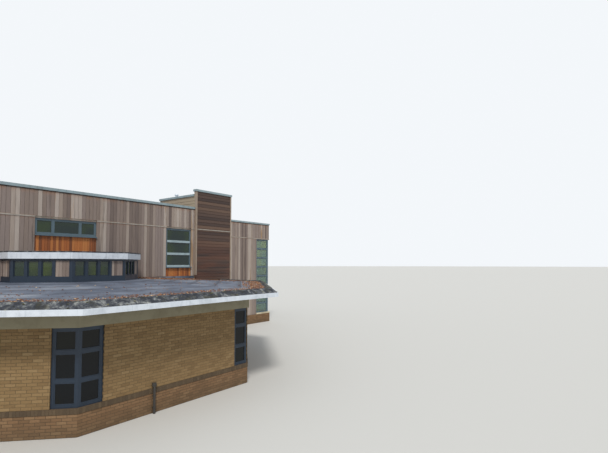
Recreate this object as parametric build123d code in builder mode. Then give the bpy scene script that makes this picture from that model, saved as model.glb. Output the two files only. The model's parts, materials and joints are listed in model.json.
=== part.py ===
# School building: a two-storey timber-clad main block with an octagonal brick
# pavilion in front of it and a small clerestory lantern on the pavilion roof.
# Millimetres, +Z up, ground at Z = 0, the front looks along -Y.
from build123d import *
from math import cos, pi, radians, sin, sqrt, tan
import os

# Storey and roof levels
ground_floor_top = 150
first_floor_top = 3250
floor_thickness = 250
main_roof_top = 6250
main_roof_thickness = 300
parapet_top = 6600
coping_thickness = 100
flashing_level = 5600
flashing_height = 45
plinth_top = 580

# Wall build-up
wall_thickness = 250
cladding_thickness = 60
plinth_projection = 40
coping_overhang = 40
flashing_projection = 15

# Plan of the main block, measured to the face of the boards
tower_inner_x = 5750
tower_outer_x = 8050
tower_projection = 100
wing_end_x = 14450
wing_setback = 2850
main_depth = 12100

# Towers
tower_wall_rise = 650
tower_front_rise = 230
tower_roof_thickness = 200
tower_trim_width = 60
tower_trim_thickness = 12
tower_trim_foot = 3400
vent_radius = 110
vent_stem_radius = 66
vent_height = 230
vent_cap_height = 72
vent_cap_taper = 20
vent_setback = 1930
vent_edge_distance = 350

# Pavilion: a regular octagon that the main block cuts near its centre
pavilion_side = 5500
pavilion_centre_setback = 139
pavilion_wall_thickness = 300
pavilion_plinth_top = 520
sill_band_height = 130
sill_band_projection = 15
frieze_bottom = 2480
frieze_top = 2860
frieze_projection = 50
corner_window_leaf = 600
eaves_overhang = 1000
fascia_top = 2995
fascia_thickness = 30
soffit_thickness = 25
kerb_width = 300
kerb_rise = 150
kerb_crest = 40
kerb_foot = 60
gutter_drop = 60
corner_bar = 70
corner_transoms = (1260, 1920)
roof_at_lantern = 3330
boards_over_roof = 30
upstand_setback = 20

# Lantern, concentric with the pavilion
lantern_reach = 2250
lantern_wall_thickness = 100
lantern_kerb_top = 3520
lantern_head = 4105
lantern_head_rail = 60
lantern_eaves_overhang = 90
lantern_fascia_height = 250
lantern_fascia_thickness = 30
lantern_roof_rise = 45
lantern_crown_reach = 670
lantern_post_width = 90
lantern_panel_width = 420
lantern_lights = 3

# Windows
frame_bar = 60
frame_depth = 70
frame_setback = 40
glass_thickness = 24
strip_centre_x = -170
strip_width = 2200
strip_sill = 4990
window_head = 5580
tall_width = 1400
tall_centre_x = 4840
tall_panel_height = 390
strip_panel_height = 550
corner_glazing_width = 1250
corner_glazing_sill = 660
corner_glazing_rows = 8
one_light = (1,)
strip_lights = (15, 26, 15)
tall_rows = 3
ground_sill = 900
ground_head = 2700
rear_window_spacing = 3400
rear_window_count = 8
end_window_spacing = 2600
end_window_count = 3
sill_projection = 60
sill_height = 40
corner_sill_nose = 20
panel_thickness = 30

# Entrance at the back and the open way into the pavilion
entrance_width = 1900
entrance_height = 2300
door_gap = 5
hinge_gap = 0.3
door_thickness = 50
leaf_rail = 140
passage_width = 4200
passage_height = 2350

# Cuts start this far outside a wall's face
cut_clearance = 60

# Derived plan lines and levels
pavilion_apothem = pavilion_side * (1 + sqrt(2)) / 2
pavilion_reach = pavilion_apothem - pavilion_centre_setback
rear_reach = max(sill_projection, plinth_projection, coping_overhang)
front_y = (pavilion_reach + eaves_overhang - main_depth - rear_reach) / 2
back_y = front_y + main_depth
wing_y = front_y + wing_setback
structure_y = front_y + cladding_thickness
inside_inset = cladding_thickness + wall_thickness
pavilion_y = front_y + pavilion_centre_setback
eaves_apothem = pavilion_apothem + eaves_overhang
sill_band_top = pavilion_plinth_top + sill_band_height
tower_front_y = front_y - tower_projection
tower_wall_top = parapet_top + tower_wall_rise
tower_front_top = tower_wall_top + tower_front_rise
front_boards_foot = roof_at_lantern + boards_over_roof
tall_sill = front_boards_foot + tall_panel_height + sill_height
far = 4 * wing_end_x


def octagon(reach, mode=Mode.ADD):
    """Regular octagon about the pavilion centre, `reach` from centre to side."""
    with Locations((0, pavilion_y)):
        RegularPolygon(reach, 8, major_radius=False, rotation=22.5, mode=mode)


def keep_in_front(line_y):
    """Cut the sketch off behind a line that runs along X."""
    with Locations((0, line_y - far / 2)):
        Rectangle(far, far, mode=Mode.INTERSECT)


def cut_towers(line_y, depth=far, margin=0):
    """Take the two towers' footprint out of the sketch, back from a line along X."""
    for side in (-1, 1):
        with Locations((side * (tower_inner_x + tower_outer_x) / 2, line_y + depth / 2)):
            Rectangle(tower_outer_x - tower_inner_x + 2 * margin, depth, mode=Mode.SUBTRACT)


def main_plan(inset, mode=Mode.ADD):
    """Main block and wings, drawn `inset` inside the face of the boards."""
    for half_width, first_y in ((tower_outer_x, front_y), (wing_end_x, wing_y)):
        with Locations((0, (first_y + back_y) / 2)):
            Rectangle(2 * (half_width - inset), back_y - first_y - 2 * inset, mode=mode)


def block(x_low, x_high, y_low, y_high, z_low, z_high, mode=Mode.ADD):
    """Box between two corners."""
    centre = ((x_low + x_high) / 2, (y_low + y_high) / 2, (z_low + z_high) / 2)
    with Locations(centre):
        Box(abs(x_high - x_low), y_high - y_low, z_high - z_low, mode=mode)


def facade(x, y, heading):
    """Plane on a wall face: local X along the wall, local Y up, Z outwards."""
    turn = radians(heading)
    return Plane(origin=(x, y, 0), x_dir=(cos(turn), sin(turn), 0), z_dir=(sin(turn), -cos(turn), 0))


def pane_grid(centre, width, sill, head, shares, rows, mode=Mode.ADD):
    """The clear lights of a window between its frame bars. Each column has its share of the width."""
    clear_width = width - frame_bar * (len(shares) + 1)
    light_height = (head - sill - frame_bar * (rows + 1)) / rows
    left = centre - width / 2 + frame_bar
    for share in shares:
        light_width = clear_width * share / sum(shares)
        with Locations((left + light_width / 2, (sill + head) / 2)):
            with GridLocations(light_width, light_height + frame_bar, 1, rows):
                Rectangle(light_width, light_height, mode=mode)
        left += light_width + frame_bar


def frame_face(centre, width, sill, head, shares, rows):
    """Window frame with its mullions and transoms."""
    with Locations((centre, (sill + head) / 2)):
        Rectangle(width, head - sill)
    pane_grid(centre, width, sill, head, shares, rows, mode=Mode.SUBTRACT)


def finish(piece, label, *neighbours):
    """Label a finished piece, with neighbours that touch it but stay apart, and write it out."""
    solids = [solid for builder in (piece, *neighbours) for solid in builder.part.solids()]
    shape = Compound(solids) if neighbours else piece.part
    shape.label = label
    export_step(shape, f"parts/{label}.step")
    print(label, len(solids), "solids", round(shape.volume / 1e9, 3), "m3")


os.makedirs("parts", exist_ok=True)

# Window schedule: place along the wall, width, sill, head, shares of the columns, and rows
front_face = facade(0, front_y, 0)
back_face = facade(0, back_y, 180)
right_end_face = facade(wing_end_x, 0, 90)
left_end_face = facade(-wing_end_x, 0, -90)
front_windows = [(strip_centre_x, strip_width, strip_sill, window_head, strip_lights, 1)]
for side in (-1, 1):
    front_windows.append((side * tall_centre_x, tall_width, tall_sill, window_head, one_light, tall_rows))

rear_windows = []
for index in range(rear_window_count):
    place = (index - (rear_window_count - 1) / 2) * rear_window_spacing
    rear_windows.append((place, tall_width, tall_sill, window_head, one_light, tall_rows))
    if abs(place) > entrance_width:
        rear_windows.append((place, tall_width, ground_sill, ground_head, one_light, tall_rows))

end_windows = []
end_centre = (wing_y + corner_glazing_width + back_y) / 2
for index in range(end_window_count):
    place = end_centre + (index - (end_window_count - 1) / 2) * end_window_spacing
    end_windows.append((place, tall_width, tall_sill, window_head, one_light, tall_rows))
    end_windows.append((place, tall_width, ground_sill, ground_head, one_light, tall_rows))


def wall_windows(face):
    """Every window of one wall, as seen from outside, left to right."""
    if face is front_face:
        return front_windows
    if face is back_face:
        return rear_windows
    mirrored = -1 if face is left_end_face else 1
    return [(mirrored * window[0], *window[1:]) for window in end_windows]


def cut_windows(face, depth):
    """Cut one wall's windows through the piece in hand, with room for their sills."""
    with BuildSketch(face.offset(cut_clearance)) as openings:
        for centre, width, sill, head, shares, rows in wall_windows(face):
            with Locations((centre, (sill - sill_height + head) / 2)):
                Rectangle(width, head - sill + sill_height)
    extrude(openings.sketch, amount=-depth, mode=Mode.SUBTRACT)


# Floors and roof of the main block
with BuildPart() as ground_floor_slab:
    with BuildSketch():
        main_plan(inside_inset)
    extrude(amount=ground_floor_top)
finish(ground_floor_slab, "ground_floor_slab")

with BuildPart() as first_floor_slab:
    with BuildSketch(Plane.XY.offset(first_floor_top - floor_thickness)):
        main_plan(inside_inset)
    extrude(amount=floor_thickness)
finish(first_floor_slab, "first_floor_slab")

with BuildPart() as main_roof_deck:
    with BuildSketch(Plane.XY.offset(main_roof_top - main_roof_thickness)):
        main_plan(inside_inset)
    extrude(amount=main_roof_thickness)
    for side in (-1, 1):
        block(side * (tower_inner_x + inside_inset), side * (tower_outer_x - inside_inset),
              front_y, wing_y - inside_inset, 0, parapet_top, mode=Mode.SUBTRACT)
finish(main_roof_deck, "main_roof_deck")

# Structural walls
wall_outer_x = tower_outer_x - cladding_thickness
wing_wall_x = wing_end_x - cladding_thickness
through = inside_inset + 2 * cut_clearance

passage_head = ground_floor_top + passage_height
passage_edge = passage_width / 2
inner_face_y = structure_y + wall_thickness
with BuildPart() as front_wall:
    block(-wall_outer_x, wall_outer_x, structure_y, inner_face_y, passage_head, parapet_top)
    cut_windows(front_face, through)
with BuildPart() as front_piers:
    for side in (-1, 1):
        block(side * passage_edge, side * wall_outer_x, structure_y, inner_face_y, 0, passage_head)
with BuildPart() as passage_threshold:
    block(-passage_edge, passage_edge, structure_y, inner_face_y, 0, ground_floor_top)
finish(front_wall, "front_wall", front_piers, passage_threshold)

with BuildPart() as return_walls:
    for side in (-1, 1):
        block(side * (wall_outer_x - wall_thickness), side * wall_outer_x,
              structure_y + wall_thickness, wing_y + inside_inset, 0, parapet_top)
finish(return_walls, "return_walls")

with BuildPart() as wing_front_walls:
    for side in (-1, 1):
        block(side * wall_outer_x, side * wing_wall_x, wing_y + cladding_thickness,
              wing_y + inside_inset, 0, parapet_top)
        block(side * (wing_end_x - corner_glazing_width), side * (wing_end_x + far), wing_y,
              wing_y + through, corner_glazing_sill, window_head, mode=Mode.SUBTRACT)
finish(wing_front_walls, "wing_front_walls")

with BuildPart() as end_walls:
    for side in (1, -1):
        block(side * (wing_wall_x - wall_thickness), side * wing_wall_x, wing_y + inside_inset,
              back_y - cladding_thickness, 0, parapet_top)
        block(side * (wing_wall_x - far), side * (wing_wall_x + far), wing_y,
              wing_y + corner_glazing_width, corner_glazing_sill, window_head, mode=Mode.SUBTRACT)
    for face in (right_end_face, left_end_face):
        cut_windows(face, through)
finish(end_walls, "end_walls")

inner_end_x = wing_wall_x - wall_thickness
with BuildPart() as back_wall:
    block(-inner_end_x, inner_end_x, back_y - inside_inset, back_y - cladding_thickness, 0, parapet_top)
    block(-entrance_width / 2, entrance_width / 2, back_y - through, back_y,
          ground_floor_top, ground_floor_top + entrance_height, mode=Mode.SUBTRACT)
    cut_windows(back_face, through)
finish(back_wall, "back_wall")

# Brick skin round the foot of the main block
with BuildPart() as main_plinth:
    with BuildSketch():
        main_plan(-plinth_projection)
        for side in (-1, 1):
            with Locations((side * (tower_inner_x + tower_outer_x) / 2, front_y)):
                Rectangle(tower_outer_x - tower_inner_x + 2 * plinth_projection,
                          2 * (tower_projection + plinth_projection))
        main_plan(cladding_thickness, mode=Mode.SUBTRACT)
        with Locations((0, front_y)):
            Rectangle(2 * pavilion_apothem, wing_setback, mode=Mode.SUBTRACT)
        with Locations((0, back_y)):
            Rectangle(entrance_width, wing_setback, mode=Mode.SUBTRACT)
    extrude(amount=plinth_top)
finish(main_plinth, "main_plinth")

# Timber boarding, in a lower and an upper band either side of the flashing
upper_band_foot = flashing_level + flashing_height


def band_block(x_low, x_high, y_low, y_high, foot, head=parapet_top):
    """Boarding from `foot` to `head`, parted at the flashing."""
    block(x_low, x_high, y_low, y_high, foot, flashing_level)
    block(x_low, x_high, y_low, y_high, upper_band_foot, head)


def cut_panels(face):
    """Cut out the coloured panels under the front windows."""
    with BuildSketch(face.offset(cut_clearance)) as recesses:
        for centre, width, panel_head, panel_foot in panel_schedule:
            with Locations((centre, (panel_head + panel_foot) / 2)):
                Rectangle(width, panel_head - panel_foot)
    extrude(recesses.sketch, amount=-through, mode=Mode.SUBTRACT)


strip_panel_head = strip_sill - sill_height
tall_panel_head = tall_sill - sill_height
panel_schedule = [(strip_centre_x, strip_width, strip_panel_head, strip_panel_head - strip_panel_height)]
for side in (-1, 1):
    panel_schedule.append((side * tall_centre_x, tall_width, tall_panel_head, front_boards_foot))

with BuildPart() as front_cladding:
    band_block(-tower_inner_x, tower_inner_x, front_y, structure_y, front_boards_foot)
    cut_windows(front_face, through)
    cut_panels(front_face)
finish(front_cladding, "front_cladding")

with BuildPart() as window_panels:
    with BuildSketch(facade(0, structure_y, 0)):
        for centre, width, panel_head, panel_foot in panel_schedule:
            with Locations((centre, (panel_head + panel_foot) / 2)):
                Rectangle(width, panel_head - panel_foot)
    extrude(amount=panel_thickness)
finish(window_panels, "window_panels")

with BuildPart() as return_cladding:
    for side in (-1, 1):
        band_block(side * wall_outer_x, side * tower_outer_x, structure_y,
                   wing_y + cladding_thickness, plinth_top)
finish(return_cladding, "return_cladding")

with BuildPart() as wing_cladding:
    for side in (-1, 1):
        band_block(side * tower_outer_x, side * wing_end_x, wing_y, wing_y + cladding_thickness,
                   plinth_top)
        block(side * (wing_end_x - corner_glazing_width), side * (wing_end_x + far), wing_y,
              wing_y + through, plinth_top, window_head, mode=Mode.SUBTRACT)
finish(wing_cladding, "wing_cladding")

with BuildPart() as end_cladding:
    for side in (-1, 1):
        band_block(side * wing_wall_x, side * wing_end_x, wing_y + cladding_thickness,
                   back_y - cladding_thickness, plinth_top)
        block(side * (wing_wall_x - far), side * (wing_wall_x + far), wing_y,
              wing_y + corner_glazing_width, plinth_top, window_head, mode=Mode.SUBTRACT)
    for face in (right_end_face, left_end_face):
        cut_windows(face, through)
finish(end_cladding, "end_cladding")

with BuildPart() as back_cladding:
    band_block(-wing_end_x, wing_end_x, back_y - cladding_thickness, back_y, plinth_top)
    block(-entrance_width / 2, entrance_width / 2, back_y - through, back_y,
          0, ground_floor_top + entrance_height, mode=Mode.SUBTRACT)
    cut_windows(back_face, through)
finish(back_cladding, "back_cladding")

# Metal flashing between the two bands, parted at every window head
with BuildPart() as wall_flashing:
    with BuildSketch(Plane.XY.offset(flashing_level)):
        main_plan(-flashing_projection)
        main_plan(cladding_thickness, mode=Mode.SUBTRACT)
        cut_towers(front_y - flashing_projection, flashing_projection, tower_trim_thickness)
        cut_towers(front_y, cladding_thickness)
        for centre, width, sill, head, shares, rows in front_windows:
            with Locations((centre, front_y)):
                Rectangle(width, wing_setback, mode=Mode.SUBTRACT)
        for side in (-1, 1):
            with Locations((side * (tower_inner_x + tower_outer_x) / 2, tower_front_y - flashing_projection / 2)):
                Rectangle(tower_outer_x - tower_inner_x - 2 * tower_trim_width, flashing_projection)
    extrude(amount=flashing_height)
finish(wall_flashing, "wall_flashing")

# Towers: a boarded front slab, a hollow box behind it, copings and vents
with BuildPart() as tower_tops:
    for side in (-1, 1):
        box_inner = side * (tower_inner_x + cladding_thickness)
        box_outer = side * wall_outer_x
        block(box_inner, box_outer, structure_y, wing_y - cladding_thickness,
              main_roof_top, tower_wall_top)
        block(box_inner + side * wall_thickness, box_outer - side * wall_thickness,
              structure_y + wall_thickness, wing_y - inside_inset,
              main_roof_top, tower_wall_top - tower_roof_thickness, mode=Mode.SUBTRACT)
        block(side * (tower_inner_x - far), side * wall_outer_x, structure_y,
              structure_y + wall_thickness, 0, parapet_top, mode=Mode.SUBTRACT)
        block(side * (wall_outer_x - wall_thickness), side * wall_outer_x, structure_y,
              wing_y + inside_inset, 0, parapet_top, mode=Mode.SUBTRACT)
finish(tower_tops, "tower_tops")

with BuildPart() as tower_cladding:
    for side in (-1, 1):
        block(side * tower_inner_x, side * tower_outer_x, tower_front_y, structure_y,
              plinth_top, tower_front_top)
        block(side * tower_inner_x, side * tower_outer_x, structure_y, wing_y,
              main_roof_top, tower_wall_top)
        block(side * (tower_inner_x + cladding_thickness), side * wall_outer_x, structure_y,
              wing_y - cladding_thickness, 0, tower_wall_top, mode=Mode.SUBTRACT)
        block(side * (tower_inner_x - far), side * (tower_outer_x + far), structure_y,
              structure_y + wall_thickness, 0, parapet_top, mode=Mode.SUBTRACT)
        block(side * (wall_outer_x - wall_thickness), side * tower_outer_x, structure_y, wing_y,
              0, parapet_top, mode=Mode.SUBTRACT)
        block(0, side * pavilion_apothem, tower_front_y, structure_y,
              0, frieze_top, mode=Mode.SUBTRACT)
        block(0, side * (pavilion_apothem + frieze_projection), tower_front_y, structure_y,
              frieze_bottom, frieze_top, mode=Mode.SUBTRACT)
finish(tower_cladding, "tower_cladding")

with BuildPart() as tower_trims:
    for side in (-1, 1):
        for edge, out, foot in ((tower_inner_x, -1, tower_trim_foot), (tower_outer_x, 1, plinth_top)):
            face_x = side * edge
            outward = side * out
            with BuildSketch(Plane.XY.offset(foot)):
                with Locations((face_x + outward * (tower_trim_thickness - tower_trim_width) / 2,
                                tower_front_y - tower_trim_thickness / 2)):
                    Rectangle(tower_trim_width + tower_trim_thickness, tower_trim_thickness)
                with Locations((face_x + outward * tower_trim_thickness / 2,
                                tower_front_y + tower_projection / 2)):
                    Rectangle(tower_trim_thickness, tower_projection)
            extrude(amount=tower_front_top - foot)
finish(tower_trims, "tower_trims")

with BuildPart() as tower_coping:
    for side in (-1, 1):
        block(side * (tower_inner_x - coping_overhang), side * (tower_outer_x + coping_overhang),
              tower_front_y - coping_overhang, structure_y + coping_overhang,
              tower_front_top, tower_front_top + coping_thickness)
        block(side * (tower_inner_x - coping_overhang), side * (tower_outer_x + coping_overhang),
              structure_y, wing_y + coping_overhang,
              tower_wall_top, tower_wall_top + coping_thickness)
finish(tower_coping, "tower_coping")

with BuildPart() as tower_vents:
    for side in (-1, 1):
        with BuildSketch(Plane.XY.offset(tower_wall_top + coping_thickness)):
            with Locations((side * (tower_inner_x + vent_edge_distance), front_y + vent_setback)):
                Circle(vent_stem_radius)
        extrude(amount=vent_height)
        with BuildSketch(Plane.XY.offset(tower_wall_top + coping_thickness + vent_height - vent_cap_height)):
            with Locations((side * (tower_inner_x + vent_edge_distance), front_y + vent_setback)):
                Circle(vent_radius)
        extrude(amount=vent_cap_height, taper=vent_cap_taper)
finish(tower_vents, "tower_vents")

# Metal coping along the parapets, stopped against the towers
with BuildPart() as parapet_coping:
    with BuildSketch(Plane.XY.offset(parapet_top)):
        main_plan(-coping_overhang)
        main_plan(inside_inset + coping_overhang, mode=Mode.SUBTRACT)
        for side in (-1, 1):
            with Locations((side * (tower_inner_x - tower_trim_thickness + far / 2), wing_y - far / 2)):
                Rectangle(far, far, mode=Mode.SUBTRACT)
        for side in (-1, 1):
            with Locations((side * (tower_outer_x + wing_end_x + coping_overhang) / 2, wing_y)):
                Rectangle(wing_end_x - tower_outer_x + coping_overhang, 2 * coping_overhang)
    extrude(amount=coping_thickness)
finish(parapet_coping, "parapet_coping")

# Window frames and glass

def add_frames(face):
    """Frames of one wall's windows, set back inside the boards, on projecting sills."""
    with BuildSketch(face.offset(-frame_setback)) as frames:
        for centre, width, sill, head, shares, rows in wall_windows(face):
            frame_face(centre, width, sill, head, shares, rows)
    extrude(frames.sketch, amount=-frame_depth)
    with BuildSketch(face.offset(sill_projection)) as sills:
        for centre, width, sill, head, shares, rows in wall_windows(face):
            with Locations((centre, sill - sill_height / 2)):
                Rectangle(width, sill_height)
    extrude(sills.sketch, amount=-sill_projection - frame_setback - frame_depth)


def add_glass(face):
    """Panes of one wall's windows, in the middle of their frames."""
    with BuildSketch(face.offset(-frame_setback - (frame_depth - glass_thickness) / 2)) as panes:
        for centre, width, sill, head, shares, rows in wall_windows(face):
            pane_grid(centre, width, sill, head, shares, rows)
    extrude(panes.sketch, amount=-glass_thickness)


with BuildPart() as front_window_frames:
    add_frames(front_face)
finish(front_window_frames, "front_window_frames")

with BuildPart() as front_window_glass:
    add_glass(front_face)
finish(front_window_glass, "front_window_glass")

with BuildPart() as rear_window_frames:
    add_frames(back_face)
finish(rear_window_frames, "rear_window_frames")

with BuildPart() as rear_window_glass:
    add_glass(back_face)
finish(rear_window_glass, "rear_window_glass")

with BuildPart() as end_window_frames:
    for face in (right_end_face, left_end_face):
        add_frames(face)
finish(end_window_frames, "end_window_frames")

with BuildPart() as end_window_glass:
    for face in (right_end_face, left_end_face):
        add_glass(face)
finish(end_window_glass, "end_window_glass")

# Corner glazing of the wings: two sheets of lights that meet at a post
corner_sheet_width = corner_glazing_width - frame_setback - frame_depth
with BuildPart() as corner_glazing_frames:
    for side in (-1, 1):
        sheet_centre = side * (wing_end_x - corner_glazing_width + corner_sheet_width / 2)
        with BuildSketch(facade(0, wing_y + frame_setback, 0)):
            frame_face(sheet_centre, corner_sheet_width, corner_glazing_sill, window_head,
                       one_light, corner_glazing_rows)
        extrude(amount=-frame_depth)
        end_x = side * (wing_end_x - frame_setback)
        end_sheet_centre = wing_y + corner_glazing_width - corner_sheet_width / 2
        with BuildSketch(facade(end_x, 0, 90 * side)):
            frame_face(side * end_sheet_centre, corner_sheet_width, corner_glazing_sill,
                       window_head, one_light, corner_glazing_rows)
        extrude(amount=-frame_depth)
        block(end_x - side * frame_depth, end_x, wing_y + frame_setback,
              wing_y + frame_setback + frame_depth, corner_glazing_sill, window_head)
finish(corner_glazing_frames, "corner_glazing_frames")

corner_sill_reach = plinth_projection + corner_sill_nose
with BuildPart() as corner_glazing_sills:
    for side in (-1, 1):
        inner_x = side * (wing_end_x - corner_glazing_width)
        block(inner_x, side * (wing_end_x + corner_sill_reach), wing_y - corner_sill_reach,
              wing_y + corner_glazing_width, plinth_top, corner_glazing_sill)
        block(inner_x, side * wing_wall_x, wing_y + cladding_thickness,
              wing_y + corner_glazing_width, plinth_top, corner_glazing_sill, mode=Mode.SUBTRACT)
finish(corner_glazing_sills, "corner_glazing_sills")

pane_setback = frame_setback + (frame_depth - glass_thickness) / 2
with BuildPart() as corner_glazing_glass:
    for side in (-1, 1):
        sheet_centre = side * (wing_end_x - corner_glazing_width + corner_sheet_width / 2)
        with BuildSketch(facade(0, wing_y + pane_setback, 0)):
            pane_grid(sheet_centre, corner_sheet_width, corner_glazing_sill, window_head,
                      one_light, corner_glazing_rows)
        extrude(amount=-glass_thickness)
        end_sheet_centre = wing_y + corner_glazing_width - corner_sheet_width / 2
        with BuildSketch(facade(side * (wing_end_x - pane_setback), 0, 90 * side)):
            pane_grid(side * end_sheet_centre, corner_sheet_width, corner_glazing_sill,
                      window_head, one_light, corner_glazing_rows)
        extrude(amount=-glass_thickness)
finish(corner_glazing_glass, "corner_glazing_glass")

# Entrance at the back: a frame and two closed leaves
with BuildPart() as entrance_frame:
    with BuildSketch(facade(0, back_y - frame_setback, 180)):
        with Locations((0, ground_floor_top + entrance_height / 2)):
            Rectangle(entrance_width, entrance_height)
        with Locations((0, ground_floor_top + (entrance_height - frame_bar) / 2)):
            Rectangle(entrance_width - 2 * frame_bar, entrance_height - frame_bar,
                      mode=Mode.SUBTRACT)
    extrude(amount=-frame_depth)
finish(entrance_frame, "entrance_frame")

leaf_width = (entrance_width - 2 * frame_bar - door_gap - 2 * hinge_gap) / 2
leaf_height = entrance_height - frame_bar - 2 * door_gap
with BuildPart() as entrance_leaves:
    for side in (-1, 1):
        leaf_centre = side * (door_gap + leaf_width) / 2
        with BuildSketch(facade(0, back_y - frame_setback, 180)):
            with Locations((leaf_centre, ground_floor_top + door_gap + leaf_height / 2)):
                Rectangle(leaf_width, leaf_height)
                Rectangle(leaf_width - 2 * leaf_rail, leaf_height - 2 * leaf_rail,
                          mode=Mode.SUBTRACT)
        extrude(amount=-door_thickness)
finish(entrance_leaves, "entrance_leaves")

with BuildPart() as entrance_glass:
    for side in (-1, 1):
        leaf_centre = side * (door_gap + leaf_width) / 2
        with BuildSketch(facade(0, back_y - frame_setback - (door_thickness - glass_thickness) / 2, 180)):
            with Locations((leaf_centre, ground_floor_top + door_gap + leaf_height / 2)):
                Rectangle(leaf_width - 2 * leaf_rail, leaf_height - 2 * leaf_rail)
        extrude(amount=-glass_thickness)
finish(entrance_glass, "entrance_glass")

# Pavilion: floor, brick plinth, sill band, wall panels and frieze
pavilion_inside = pavilion_apothem - pavilion_wall_thickness
with BuildPart() as pavilion_floor_slab:
    with BuildSketch():
        octagon(pavilion_inside)
        keep_in_front(structure_y)
    extrude(amount=ground_floor_top)
finish(pavilion_floor_slab, "pavilion_floor_slab")


def octagon_ring(outer_reach, inner_reach, line_y):
    """Octagonal ring in front of the main wall."""
    octagon(outer_reach)
    octagon(inner_reach, mode=Mode.SUBTRACT)
    keep_in_front(line_y)


with BuildPart() as pavilion_plinth:
    with BuildSketch():
        octagon_ring(pavilion_apothem, pavilion_inside, structure_y)
    extrude(amount=pavilion_plinth_top)
finish(pavilion_plinth, "pavilion_plinth")

with BuildPart() as pavilion_sill_band:
    with BuildSketch(Plane.XY.offset(pavilion_plinth_top)):
        octagon_ring(pavilion_apothem + sill_band_projection, pavilion_inside, structure_y)
        for side in (-1, 1):
            with Locations((side * (pavilion_apothem + tower_outer_x) / 2, front_y)):
                Rectangle(tower_outer_x - pavilion_apothem, 2 * (tower_projection + plinth_projection),
                          mode=Mode.SUBTRACT)
    extrude(amount=sill_band_height)
finish(pavilion_sill_band, "pavilion_sill_band")

half_side = pavilion_side / 2
side_turns = (-90, -45, 0, 45, 90)


def side_strips(reach, thickness, places, length, turns=side_turns):
    """Strips along the octagon's sides, `places` from the middle of each side."""
    for turn in turns:
        with Locations(Location((0, pavilion_y, 0), (0, 0, turn))):
            with Locations([(place, thickness / 2 - reach) for place in places]):
                Rectangle(length, thickness)


def corner_strips(reach, thickness, half_length, leaf, line_y):
    """Mitred strips that run `leaf` from each corner along both sides."""
    octagon_ring(reach, reach - thickness, line_y)
    for turn in range(0, 360, 45):
        with Locations(Location((0, pavilion_y, 0), (0, 0, turn))):
            with Locations((0, -reach)):
                Rectangle(2 * (half_length - leaf), reach, mode=Mode.SUBTRACT)


with BuildPart() as pavilion_walls:
    with BuildSketch(Plane.XY.offset(sill_band_top)):
        side_strips(pavilion_apothem, pavilion_wall_thickness, [0],
                    pavilion_side - 2 * corner_window_leaf)
        keep_in_front(structure_y)
    extrude(amount=frieze_bottom - sill_band_top)
finish(pavilion_walls, "pavilion_walls")

with BuildPart() as pavilion_frieze:
    with BuildSketch(Plane.XY.offset(frieze_bottom)):
        octagon_ring(pavilion_apothem + frieze_projection, pavilion_inside, structure_y)
    extrude(amount=frieze_top - frieze_bottom)
finish(pavilion_frieze, "pavilion_frieze")

# Corner windows: mitred posts and rails in both walls, with a pane each side
pane_levels = [(sill_band_top, corner_transoms[0]), corner_transoms,
               (corner_transoms[1], frieze_bottom)]
jamb_place = half_side - corner_window_leaf + corner_bar / 2
with BuildPart() as pavilion_window_frames:
    with BuildSketch(Plane.XY.offset(sill_band_top)):
        corner_strips(pavilion_apothem - frame_setback, frame_depth, half_side, corner_bar, structure_y)
        side_strips(pavilion_apothem - frame_setback, frame_depth, (-jamb_place, jamb_place), corner_bar)
        keep_in_front(structure_y)
    extrude(amount=frieze_bottom - sill_band_top)
    for level in (sill_band_top, *corner_transoms, frieze_bottom):
        foot = min(max(level - corner_bar / 2, sill_band_top), frieze_bottom - corner_bar)
        with BuildSketch(Plane.XY.offset(foot)):
            corner_strips(pavilion_apothem - frame_setback, frame_depth, half_side,
                          corner_window_leaf, structure_y)
        extrude(amount=corner_bar)
finish(pavilion_window_frames, "pavilion_window_frames")

pane_width = corner_window_leaf - 2 * corner_bar
pane_place = half_side - corner_bar - pane_width / 2
with BuildPart() as pavilion_window_glass:
    for low, high in pane_levels:
        pane_foot = low + (corner_bar if low == sill_band_top else corner_bar / 2)
        pane_head = high - (corner_bar if high == frieze_bottom else corner_bar / 2)
        with BuildSketch(Plane.XY.offset(pane_foot)):
            side_strips(pavilion_apothem - pane_setback, glass_thickness, (-pane_place, pane_place),
                        pane_width)
            keep_in_front(structure_y)
        extrude(amount=pane_head - pane_foot)
finish(pavilion_window_glass, "pavilion_window_glass")

# Pavilion roof: soffit, deck that falls to a gutter line, kerb and white fascia
deck_reach = eaves_apothem - fascia_thickness
kerb_reach = eaves_apothem - kerb_width
gutter_reach = kerb_reach - kerb_foot
kerb_top = fascia_top + kerb_rise
gutter_level = kerb_top - gutter_drop
deck_foot = frieze_top + soffit_thickness


def cut_at_main_walls(low, high, line_y=front_y):
    """Cut the roof piece in hand along the main front, and round the towers."""
    block(-far, far, line_y, line_y + far, low, high, mode=Mode.SUBTRACT)
    for side in (-1, 1):
        block(side * tower_inner_x, side * tower_outer_x, tower_front_y, front_y + far,
              low, high, mode=Mode.SUBTRACT)


def shave_slopes(low_reach, low, high_reach, high):
    """Give the octagonal slab in hand an even fall from `high_reach` out to `low_reach`."""
    slope = Vector(0, low - high, low_reach - high_reach)
    for turn in side_turns:
        eaves = Vector(0, -low_reach, low).rotate(Axis.Z, turn) + Vector(0, pavilion_y, 0)
        along = Vector(1, 0, 0).rotate(Axis.Z, turn)
        split(bisect_by=Plane(eaves, x_dir=along, z_dir=slope.rotate(Axis.Z, turn)), keep=Keep.BOTTOM)


with BuildPart() as pavilion_soffit:
    with BuildSketch(Plane.XY.offset(frieze_top)):
        octagon(deck_reach)
        octagon(pavilion_inside, mode=Mode.SUBTRACT)
        keep_in_front(front_y)
        cut_towers(tower_front_y)
    extrude(amount=soffit_thickness)
finish(pavilion_soffit, "pavilion_soffit")

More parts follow.
